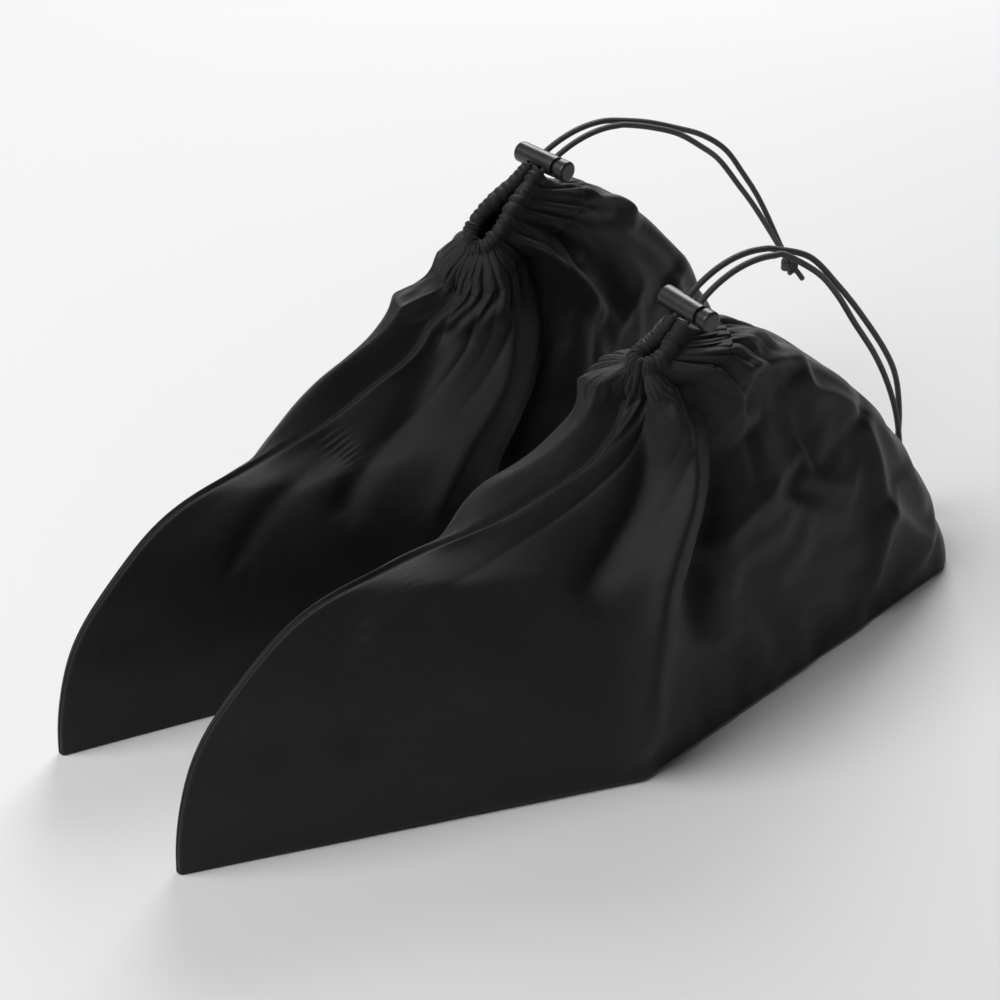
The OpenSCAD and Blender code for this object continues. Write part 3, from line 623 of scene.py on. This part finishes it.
def weave_group():
    """Plain weave: warp and weft threads that pass over and under each other."""
    tree, given, result = effect_group("plain_weave", [("Threads", "NodeSocketVector")],
                                       [("Height", "NodeSocketFloat")])
    split = add_node(tree, "ShaderNodeSeparateXYZ", {"Vector": given.outputs["Threads"]})
    x, y = split.outputs["X"], split.outputs["Y"]
    cell = maths(tree, "ADD", maths(tree, "FLOOR", x), maths(tree, "FLOOR", y))
    over = maths(tree, "PINGPONG", cell, 1.0)
    warp = maths(tree, "MULTIPLY", thread_wave(tree, x), maths(tree, "MULTIPLY_ADD", over, 0.5, 0.5))
    weft = maths(tree, "MULTIPLY", thread_wave(tree, y), maths(tree, "MULTIPLY_ADD", over, -0.5, 1.0))
    tree.links.new(maths(tree, "MAXIMUM", warp, weft), result.inputs["Height"])
    return tree


def braid_group():
    """Braided sheath: two sets of strands wound opposite ways round a cord."""
    inputs = [("Run", "NodeSocketVector"), ("Pitch", "NodeSocketFloat"), ("Strands", "NodeSocketFloat")]
    tree, given, result = effect_group("braid", inputs, [("Height", "NodeSocketFloat")])
    split = add_node(tree, "ShaderNodeSeparateXYZ", {"Vector": given.outputs["Run"]})
    run = maths(tree, "DIVIDE", split.outputs["X"], given.outputs["Pitch"])
    turn = maths(tree, "MULTIPLY", split.outputs["Y"], given.outputs["Strands"])
    waves = [thread_wave(tree, maths(tree, way, run, turn)) for way in ("ADD", "SUBTRACT")]
    tree.links.new(maths(tree, "MAXIMUM", *waves), result.inputs["Height"])
    return tree


def uneven_group():
    """Slow change over a surface, as from handling and dust: a shade about 1, and a mask. Where a
    material also bumps with the mask, the shade is partly painted shade, darker in the bump's hollows.
    """
    inputs = [("Place", "NodeSocketVector"), ("Scale", "NodeSocketFloat"), ("Amount", "NodeSocketFloat")]
    outputs = [("Shade", "NodeSocketFloat"), ("Mask", "NodeSocketFloat")]
    tree, given, result = effect_group("uneven", inputs, outputs)
    place, scale = given.outputs["Place"], given.outputs["Scale"]
    settings = {"Vector": place, "Scale": scale, "Detail": 4.0, "Roughness": 0.6}
    cloud = add_node(tree, "ShaderNodeTexNoise", settings).outputs["Fac"]
    swing = maths(tree, "MULTIPLY", maths(tree, "SUBTRACT", cloud, 0.5), given.outputs["Amount"])
    tree.links.new(maths(tree, "ADD", swing, 1.0), result.inputs["Shade"])
    tree.links.new(cloud, result.inputs["Mask"])
    return tree


WEAVE = weave_group()
BRAID = braid_group()
UNEVEN = uneven_group()


def use_group(tree, group, **inputs):
    return add_node(tree, "ShaderNodeGroup", {k.title(): v for k, v in inputs.items()}, node_tree=group)


def material_base(name):
    material = bpy.data.materials.new(name)
    material.use_nodes = True
    tree = material.node_tree
    coords = add_node(tree, "ShaderNodeTexCoord")
    return material, tree, tree.nodes["Principled BSDF"], coords.outputs["Object"], coords.outputs["UV"]


def shaded(tree, color, *shades):
    """A colour times one or more changing shades."""
    shade = shades[0]
    for other in shades[1:]:
        shade = maths(tree, "MULTIPLY", shade, other)
    tone = add_node(tree, "ShaderNodeVectorMath", {0: color, 3: shade}, operation="SCALE")
    return tone.outputs["Vector"]


def bump(tree, height, distance, normal=None):
    inputs = {"Height": height, "Distance": distance, "Strength": 1.0}
    if normal is not None:
        inputs["Normal"] = normal
    return add_node(tree, "ShaderNodeBump", inputs).outputs["Normal"]


def rough_by(tree, shader, mask, swing, least):
    """Roughness that changes with a mask, from the least by up to the swing."""
    tree.links.new(maths(tree, "MULTIPLY_ADD", mask, swing, least), shader.inputs["Roughness"])


def cloth_material(name, color, sheen):
    """Black taffeta: fine plain weave, a faint satin sheen, tiny creases and a little uneven tone, with
    painted shade between the threads and in the creases' hollows.
    """
    material, tree, shader, place, uv = material_base(name)
    per_metre = (THREADS_PER_M, THREADS_PER_M, 1)
    threads = add_node(tree, "ShaderNodeMapping", {"Vector": uv, "Scale": per_metre}).outputs["Vector"]
    weave = use_group(tree, WEAVE, threads=threads).outputs["Height"]
    broad = use_group(tree, UNEVEN, place=place, scale=16.0, amount=0.5)
    # the fine noise tints the colour and also bumps the tiny creases: partly uneven tone, partly painted
    # shade, darker in the creases' hollows
    fine = use_group(tree, UNEVEN, place=place, scale=240.0, amount=0.35)
    # painted shade: the colour is darker between the threads, where the weave is low, and lighter on
    # their tops
    painted_thread_gap_shade = maths(tree, "MULTIPLY_ADD", weave, 0.5, 0.7)
    tree.links.new(shaded(tree, color, broad.outputs["Shade"], fine.outputs["Shade"], painted_thread_gap_shade),
                   shader.inputs["Base Color"])
    rough_by(tree, shader, broad.outputs["Mask"], 0.22, 0.36)
    creases = bump(tree, fine.outputs["Mask"], 0.00012)
    tree.links.new(bump(tree, weave, 0.00003, creases), shader.inputs["Normal"])
    shader.inputs["Sheen Weight"].default_value = sheen
    shader.inputs["Sheen Roughness"].default_value = 0.35
    shader.inputs["Specular IOR Level"].default_value = 0.18
    return material


def cord_material():
    """Black elastic cord in a braided sheath, with painted shade in the grooves between the strands."""
    material, tree, shader, place, uv = material_base("elastic_cord")
    braid = use_group(tree, BRAID, run=uv, pitch=1.5, strands=5.0).outputs["Height"]
    broad = use_group(tree, UNEVEN, place=place, scale=60.0, amount=0.4)
    # painted shade: the colour is darker in the grooves between the strands and lighter on their tops
    painted_strand_groove_shade = maths(tree, "MULTIPLY_ADD", braid, 0.7, 0.55)
    tree.links.new(shaded(tree, (0.02, 0.02, 0.021), broad.outputs["Shade"], painted_strand_groove_shade),
                   shader.inputs["Base Color"])
    rough_by(tree, shader, broad.outputs["Mask"], 0.2, 0.5)
    tree.links.new(bump(tree, braid, 0.00018), shader.inputs["Normal"])
    shader.inputs["Sheen Weight"].default_value = 0.15
    return material


def thread_material():
    """Twisted sewing thread, whose tone is partly painted shade, darker in the hollows of its bump."""
    material, tree, shader, place, uv = material_base("sewing_thread")
    twist = add_node(tree, "ShaderNodeTexNoise", {"Vector": place, "Scale": 3000.0}).outputs["Fac"]
    # the twist noise tints the colour and also makes the bump: partly random tone, partly painted shade,
    # darker in its hollows
    tone = shaded(tree, (0.016, 0.016, 0.017), maths(tree, "ADD", twist, 0.5))
    tree.links.new(tone, shader.inputs["Base Color"])
    tree.links.new(bump(tree, twist, 0.00005), shader.inputs["Normal"])
    shader.inputs["Roughness"].default_value = 0.6
    return material


def plastic_material():
    """Black moulded plastic with a fine satin grain and lightly rubbed patches; the grain's tone is
    partly painted shade, darker in its pits.
    """
    material, tree, shader, place, uv = material_base("satin_plastic")
    # the grain noise tints the colour and also makes the bump: partly grain tone, partly painted shade,
    # darker in the grain's pits
    grain = use_group(tree, UNEVEN, place=place, scale=2200.0, amount=0.3)
    rubbed = use_group(tree, UNEVEN, place=place, scale=140.0, amount=0.4)
    tree.links.new(shaded(tree, (0.02, 0.02, 0.021), grain.outputs["Shade"], rubbed.outputs["Shade"]),
                   shader.inputs["Base Color"])
    rough_by(tree, shader, rubbed.outputs["Mask"], 0.25, 0.22)
    tree.links.new(bump(tree, grain.outputs["Mask"], 0.00003), shader.inputs["Normal"])
    return material


def steel_material():
    """Spring wire with fine drawn streaks."""
    material, tree, shader, place, uv = material_base("spring_wire")
    drawn = use_group(tree, UNEVEN, place=place, scale=900.0, amount=0.5)
    tree.links.new(shaded(tree, (0.6, 0.6, 0.62), drawn.outputs["Shade"]), shader.inputs["Base Color"])
    rough_by(tree, shader, drawn.outputs["Mask"], 0.3, 0.2)
    shader.inputs["Metallic"].default_value = 1
    return material


BLACK = (0.016, 0.016, 0.0165)
CLOTH = cloth_material("black_taffeta", BLACK, 0.12)
SEAM_EDGE = cloth_material("seam_edge", BLACK, 0.12)
CORD = cord_material()
THREAD = thread_material()
PLASTIC = plastic_material()
STEEL = steel_material()


# Cords

def smooth_path(points, steps=8):
    """A smooth curve through a list of points."""
    p = np.array(points, float)
    p = np.concatenate([[2 * p[0] - p[1]], p, [2 * p[-1] - p[-2]]])
    out = []
    for a, b, c, d in zip(p[:-3], p[1:-2], p[2:-1], p[3:]):
        for k in range(steps):
            t = k / steps
            out.append(0.5 * (2 * b + (c - a) * t + (2 * a - 5 * b + 4 * c - d) * t ** 2
                              + (3 * b - a - 3 * c + d) * t ** 3))
    return np.array(out + [p[-2]])


def add_tube(bm, path, radius, sides=CORD_SIDES):
    """Adds a round tube along a path, with its run in millimetres and its turn in the UV map."""
    uv = bm.loops.layers.uv.verify()
    heading = unit(np.gradient(path, axis=0))
    run = np.concatenate([[0], np.cumsum(np.linalg.norm(np.diff(path, axis=0), axis=1))])
    side = unit(np.cross(heading[0], (0.3, 0.9, 0.2)))
    angles = [2 * math.pi * k / sides for k in range(sides)]
    rings = []
    for point, ahead in zip(path, heading):
        side = unit(side - ahead * np.dot(side, ahead))
        other = np.cross(ahead, side)
        spots = [point + radius * (math.cos(a) * side + math.sin(a) * other) for a in angles]
        rings.append([bm.verts.new(spot) for spot in spots])
    for i in range(len(rings) - 1):
        for k in range(sides):
            n = (k + 1) % sides
            face = bm.faces.new((rings[i][k], rings[i][n], rings[i + 1][n], rings[i + 1][k]))
            for loop, (r, t) in zip(face.loops, ((i, k), (i, k + 1), (i + 1, k + 1), (i + 1, k))):
                loop[uv].uv = (run[r], t / sides)
    bm.faces.new(rings[0][::-1])
    bm.faces.new(rings[-1])


def tubes_mesh(bag, name, paths, radius):
    bm = bmesh.new()
    for path in paths:
        add_tube(bm, path, radius)
    bmesh.ops.recalc_face_normals(bm, faces=bm.faces)
    bmesh.ops.transform(bm, matrix=placed(bag), verts=bm.verts)
    return finished_mesh(name, bm)


def arch_point(bag, angle):
    out = math.radians(bag.exit_angle)
    centre = np.array(bag.mouth_exit) + bag.arch_r * np.array([math.sin(out), -math.cos(out)])
    a = math.radians(angle)
    return centre + bag.arch_r * np.array([-math.sin(a), math.cos(a)])


def tail_path(bag, side):
    sign = -1 if side == "near" else 1
    arch = [arch_point(bag, mix(bag.exit_angle, -bag.arch_end, k / 8)) for k in range(9)]
    fall = bag.near_fall if side == "near" else bag.far_fall
    return smooth_path([(x, sign * CORD_PITCH / 2, z) for x, z in arch] + list(fall))


def knot_heading(bag):
    arrive = (np.array(bag.near_fall[-2]) + np.array(bag.far_fall[-2])) / 2
    return unit(np.array(bag.knot_at) - arrive)


def add_knot(bag):
    """An overhand knot in both cords: wraps, a strand across them and two short ends."""
    ahead = knot_heading(bag)
    side = unit(np.cross(ahead, (0, 0, 1)))
    other = np.cross(ahead, side)
    centre = np.array(bag.knot_at, float)

    def around(angle, radius, along):
        tilt = KNOT_TILT * math.sin(angle)
        spoke = math.cos(angle) * side + math.sin(angle) * other
        return centre + ahead * (along + tilt) + radius * spoke

    turns = np.linspace(0, 1, 30)
    wraps = [around(2 * math.pi * KNOT_TURNS * t, KNOT_R, mix(-KNOT_LEN, KNOT_LEN, t) / 2)
             for t in turns]
    across = [around(mix(0.4, 3.6, t), KNOT_R + KNOT_HUMP * math.sin(math.pi * t),
                     mix(-KNOT_LEN, KNOT_LEN, t) / 1.6) for t in turns]
    ends = []
    for way in (-1, 1):
        lean = math.radians(END_SPREAD) * way
        out = ahead * math.cos(lean) + side * math.sin(lean)
        ends.append([centre + side * way * CORD_D / 2 + out * k * END_LEN / 6 for k in range(7)])
    mesh = tubes_mesh(bag, "knot", [np.array(p) for p in (wraps, across, *ends)], CORD_D / 2)
    obj = piece(bag, "knot_wraps", mesh, CORD)
    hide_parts(bag.name + "_knot")
    return obj


def add_tail(bag, side):
    path = tail_path(bag, side)
    row_path = to_row(bag, path)
    obj = piece(bag, side + "_cord", tubes_mesh(bag, side, [path], CORD_D / 2), CORD)
    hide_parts(f"{bag.name}_{side}_tail")


def add_hem_cord(bag):
    near = mouth_line(bag, np.linspace(0, 1, 25))
    line = np.concatenate([near[::-1], near[1:] * (1, -1, 1)])
    obj = piece(bag, "cord_in_hem", tubes_mesh(bag, "hem", [line], CORD_D / 2), CORD)
    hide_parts(bag.name + "_hem_cord")


# Bag pieces

def sole(edge):
    """Half of the base, from its middle seam out to the edge."""
    middle = edge * (1, 0, 1)
    return np.stack([mix(middle, edge, s) for s in np.linspace(0, 1, SOLE_ROWS + 1)[:-1]], 1)


def hem_frame(bag):
    """The cord's line round the mouth, with the directions out of the mouth and over the cord."""
    centre = mouth_line(bag, SHARES)
    along = unit(np.gradient(centre, axis=0))
    out = unit(np.stack([along[:, 1], -along[:, 0], 0 * SHARES], -1))
    out[0], out[-1] = (-1, 0, 0), (0, -1, 0)
    over = np.cross(out, along)
    over[0] = (0, 0, 1)
    return centre, out, over


def hem(bag, side, foot):
    """One side's gathered channel: up from the stitch line, round the cord and down inside."""
    centre, out, over = hem_frame(bag)
    crease = creases(bag, side, SHARES, 0)
    fine = FINE_DEPTH * fine_pleats(bag, SHARES) * ease(0.02, 0.1, SHARES)
    loose = 1 - 0.7 * ease(0.75, 0.95, SHARES)

    def ring(degrees):
        a = math.radians(degrees)
        pinch = np.minimum(0.4 * crease * (1 + math.cos(a)) / 2, CHANNEL_PUFF)
        radius = CHANNEL_R + CHANNEL_PUFF - pinch + fine * (1.2 - math.cos(a)) / 2
        return centre + column(radius) * (math.cos(a) * out + math.sin(a) * over)

    rows = []
    start = ring(CHANNEL_FROM)
    for t in np.linspace(0, 1, 9)[:-1]:
        swell = math.sin(math.pi * t) * (HEM_PUFF + 0.4 * fine - 0.5 * crease) * loose
        rows.append(mix(foot, start, t) + column(swell) * out)
    rows.extend(ring(d) for d in np.linspace(CHANNEL_FROM, CHANNEL_TO, 12))
    channel_end = rows[-1]
    inner = foot - TURN_IN * out + (0, 0, TURN_UP)
    rows.extend(mix(channel_end, inner, k / 4) for k in range(1, 5))
    points = np.stack(rows, 1)
    points[..., 1] = np.minimum(points[..., 1], -MOUTH_GAP)
    points[-1, :, 1] = 0
    return points


def add_stitches(bag, side, line, out):
    """Lockstitches along the foot of the hem, each a short rounded length of thread."""
    run = np.concatenate([[0], np.cumsum(np.linalg.norm(np.diff(line, axis=0), axis=1))])
    bm = bmesh.new()
    for spot in np.arange(STITCH_PITCH, run[-1] - STITCH_PITCH, STITCH_PITCH):
        centre, ahead, lift = (np.array([np.interp(spot + d, run, w[:, k]) for k in range(3)])
                               for d, w in ((0, line), (STITCH_LEN / 2, line), (0, out)))
        made = bmesh.ops.create_icosphere(bm, subdivisions=1, radius=THREAD_D / 2)["verts"]
        turn = Vector(ahead - centre).to_track_quat("X", "Z").to_matrix().to_4x4()
        stretch = Matrix.Diagonal((STITCH_LEN / THREAD_D, 1, 1, 1))
        lift = THREAD_D / 3 * lift
        bmesh.ops.transform(bm, matrix=Matrix.Translation(centre + lift) @ turn @ stretch, verts=made)
    bmesh.ops.transform(bm, matrix=placed(bag), verts=bm.verts)
    piece(bag, side + "_hem_stitches", finished_mesh("stitches", bm), THREAD)


def side_cloth(bag, side):
    """One side's cloth before it settles: the wall, then the hem from its stitch line over the cord."""
    points = wall(bag, side)
    mirrored = np.array((1, -1 if side == "far" else 1, 1))
    band = hem(bag, side, points[:, -1] * mirrored) * mirrored
    return np.concatenate([points, band[:, 1:]], 1)


def cloth_piece(bag, side, name, points):
    """A finished piece of cloth whose faces point out of the bag on either side."""
    grid = points[::-1] if side == "far" else points
    return piece(bag, f"{side}_{name}", grid_mesh(side, to_row(bag, grid)), CLOTH)


def add_panel(bag, side, points):
    flip = side == "far"
    walls, band = points[:, :WALL_ROWS + 1], points[:, WALL_ROWS:]
    out = hem_frame(bag)[1] * (1, -1 if flip else 1, 1)
    under = band[:, 1:3] - UNDER_HEM * out[:, None]
    panel = np.concatenate([sole(walls[:, 0] * (1, 1, 0)), walls, under], 1)
    lap = panel[-2:-4:-1] * (1, -1, 1) - (HEEL_LAP, 0, 0)
    panel = np.concatenate([panel, lap]) if flip else panel
    cloth = cloth_piece(bag, side, "cloth", panel)
    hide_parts(f"{bag.name}_{side}_panel")
    cloth_finish(cloth)
    gathers = cloth_piece(bag, side, "gathers", band)
    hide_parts(f"{bag.name}_{side}_hem")
    cloth_finish(gathers)
    add_stitches(bag, side, band[:, 1], out)


def seam_piece(bag, seam, rows):
    """The sewn edges along one seam, standing for its solid."""
    mesh = grid_mesh(seam, to_row(bag, np.stack(rows, 1)))
    obj = piece(bag, seam + "_edges", mesh, SEAM_EDGE)
    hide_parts(f"{bag.name}_{seam}")
    cloth_finish(obj)
    return obj


def add_seam_edges(bag):
    """The sewn edges of the two panels inside the toe seam, and the folded edges on the base."""
    v = np.linspace(0.02, 1, 62)
    line = at_y(seam_line(bag, v), 0) + seam_stray(bag, v)
    inward = seam_inward(bag, v)
    rows = [line + inward * d for d in np.linspace(SEAM_SINK - EDGE_SHOW, SEAM_DEPTH, 5)]
    toe = seam_piece(bag, "toe_seam", rows)
    toe.modifiers["thickness"].thickness = 2 * CLOTH_T * MM
    toe.modifiers["thickness"].offset = 0
    x = np.linspace(TOE_RUN / 4, BASE_LEN - TOE_RUN / 4, 60)
    across = np.linspace(-SEAM_DEPTH, SEAM_DEPTH, 5)
    rows = [np.stack([x, y + 0 * x, SOLE_EDGE_H + SOLE_EDGE_WAVE * np.sin(x / 9 + y)], -1)
            for y in across]
    seam_piece(bag, "sole_seam", rows)


def finish_lock(bag):
    for node, material in (("lock_barrel", PLASTIC), ("lock_plunger", PLASTIC), ("lock_spring", STEEL)):
        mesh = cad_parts[f"{bag.name}_{node}"].data
        mesh.materials.clear()
        mesh.materials.append(material)


for bag in BAGS:
    knot = add_knot(bag)
    for side in ("near", "far"):
        add_tail(bag, side)
    add_hem_cord(bag)
    near, far = side_cloth(bag, "near"), side_cloth(bag, "far")
    near, far = drape(bag, near, far)
    add_panel(bag, "near", near)
    add_panel(bag, "far", far)
    add_seam_edges(bag)
    finish_lock(bag)


# Floor, light and camera, in metres

FLOOR_HALF = 6
FLOOR_GAP = 0.0005


def floor_material():
    material, tree, shader, place, uv = material_base("floor_paper")
    paper = use_group(tree, UNEVEN, place=place, scale=3.0, amount=0.02)
    tree.links.new(shaded(tree, (0.8, 0.8, 0.8), paper.outputs["Shade"]), shader.inputs["Base Color"])
    shader.inputs["Roughness"].default_value = 0.9
    return material


bm = bmesh.new()
bmesh.ops.create_grid(bm, x_segments=1, y_segments=1, size=FLOOR_HALF)
mesh = finished_mesh("floor", bm)
mesh.materials.append(floor_material())
floor = bpy.data.objects.new("floor", mesh)
floor.location.z = -FLOOR_GAP
bpy.context.scene.collection.objects.link(floor)

world = bpy.data.worlds.new("studio")
world.use_nodes = True
world.node_tree.nodes["Background"].inputs["Color"].default_value = (1, 1, 1, 1)
world.node_tree.nodes["Background"].inputs["Strength"].default_value = 0.08
bpy.context.scene.world = world


def softbox(name, place, aim, size, power):
    light = bpy.data.lights.new(name, "AREA")
    light.shape = "SQUARE"
    light.size = size
    light.energy = power
    obj = bpy.data.objects.new(name, light)
    obj.location = place
    obj.rotation_euler = (Vector(aim) - Vector(place)).to_track_quat("-Z", "Y").to_euler()
    bpy.context.scene.collection.objects.link(obj)


BAG_MIDDLE = (0, 0, 0.05)
softbox("key_left", (-1.0, 0.22, 1.35), BAG_MIDDLE, 1.2, 24)
softbox("rim_right", (1.3, 1.2, 1.2), BAG_MIDDLE, 1.2, 33)

camera = bpy.data.cameras.new("camera")
camera.lens = 100
camera.sensor_width = 36
camera_obj = bpy.data.objects.new("camera", camera)
back = Vector((-0.5012, -0.6724, 0.5446))
up = Vector((0.3255, 0.4367, 0.8387))
right = Vector((0.8018, -0.5976, 0))
turn = Matrix((right, up, back)).transposed().to_4x4()
camera_obj.matrix_world = Matrix.Translation((-0.5475, -0.7314, 0.6578)) @ turn
bpy.context.scene.collection.objects.link(camera_obj)
bpy.context.scene.camera = camera_obj
bpy.context.scene.view_settings.view_transform = "Standard"
